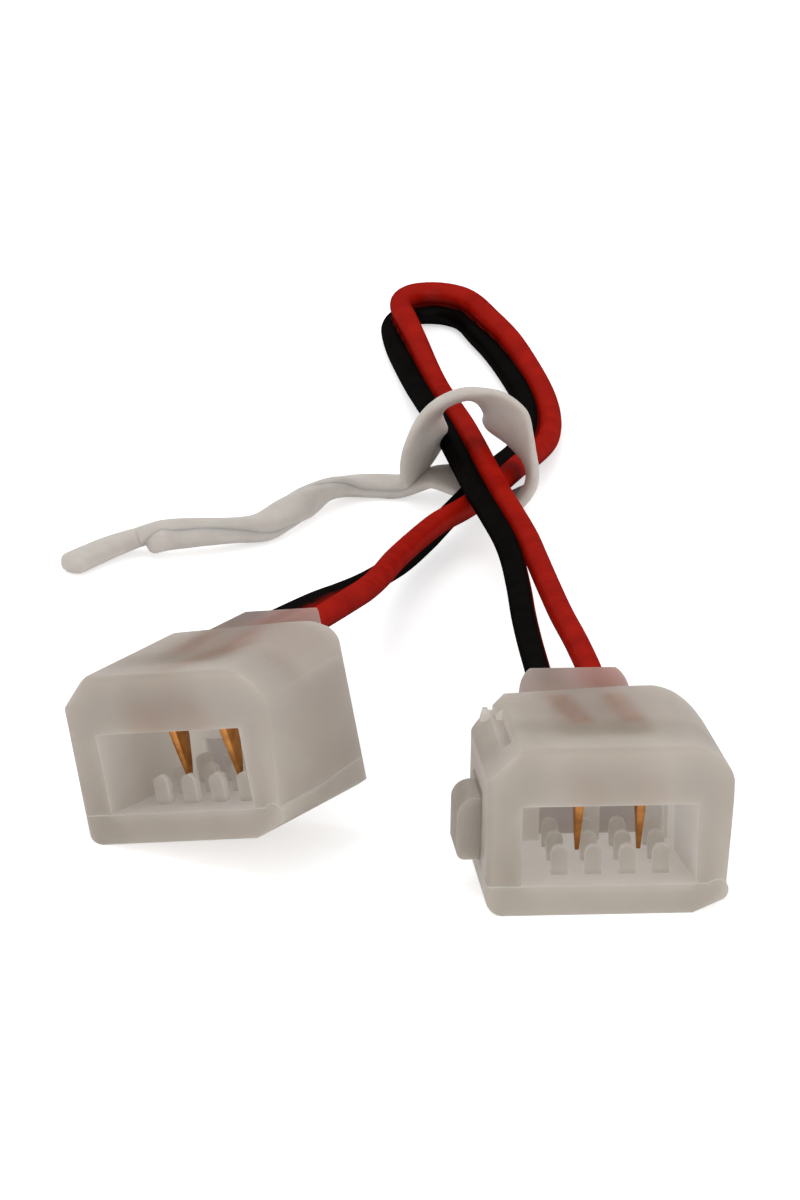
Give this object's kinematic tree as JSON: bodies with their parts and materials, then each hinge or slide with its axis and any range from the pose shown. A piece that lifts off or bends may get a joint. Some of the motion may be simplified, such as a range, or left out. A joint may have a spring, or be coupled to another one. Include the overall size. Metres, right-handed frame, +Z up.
{
  "type": "led strip connector",
  "caption": "Solderless jumper for a light strip: a milky snap housing with piercing contacts on each end of a bonded red and black cable, bundled with a twist tie",
  "frame": {"origin": "middle of the right housing's flat underside, on the surface it stands on", "axes": "+Y runs from the right housing's mouth to its cable, +Z is up out of its roof, +X is to the right seen from its mouth"},
  "size_m": [0.0431, 0.1289, 0.014],
  "materials": {
    "housing": "milky translucent moulding, satin",
    "tray": "milky translucent moulding, satin",
    "seal": "soft translucent plug",
    "contact": "stamped copper alloy",
    "strands": "bare copper strands",
    "red_insulation": "glossy flexible insulation",
    "black_insulation": "glossy flexible insulation",
    "tie": "pale coated tie wire"
  },
  "bodies": {
    "jumper": {"shell_right": "housing", "seal_right": "seal", "terminal_red_right": "contact", "terminal_black_right": "contact", "strands_red_right": "strands", "strands_black_right": "strands", "shell_left": "housing", "seal_left": "seal", "terminal_red_left": "contact", "terminal_black_left": "contact", "strands_red_left": "strands", "strands_black_left": "strands", "wire_red": "red_insulation", "wire_black": "black_insulation", "twist_tie": "tie"},
    "tray_right": {"tray_right": "tray"},
    "tray_left": {"tray_left": "tray"}
  },
  "joints": [
    {"name": "tray_right_hinge", "type": "hinge", "parent": "jumper", "child": "tray_right", "pos_m": [0.007, 0, 0.0015], "axis": [0, -1, 0], "range_deg": [0, 110]},
    {"name": "tray_left_hinge", "type": "hinge", "parent": "jumper", "child": "tray_left", "pos_m": [-0.01726, 0.00518, 0.00483], "axis": [-0.6088, -0.7934, 0], "range_deg": [0, 110]}
  ]
}
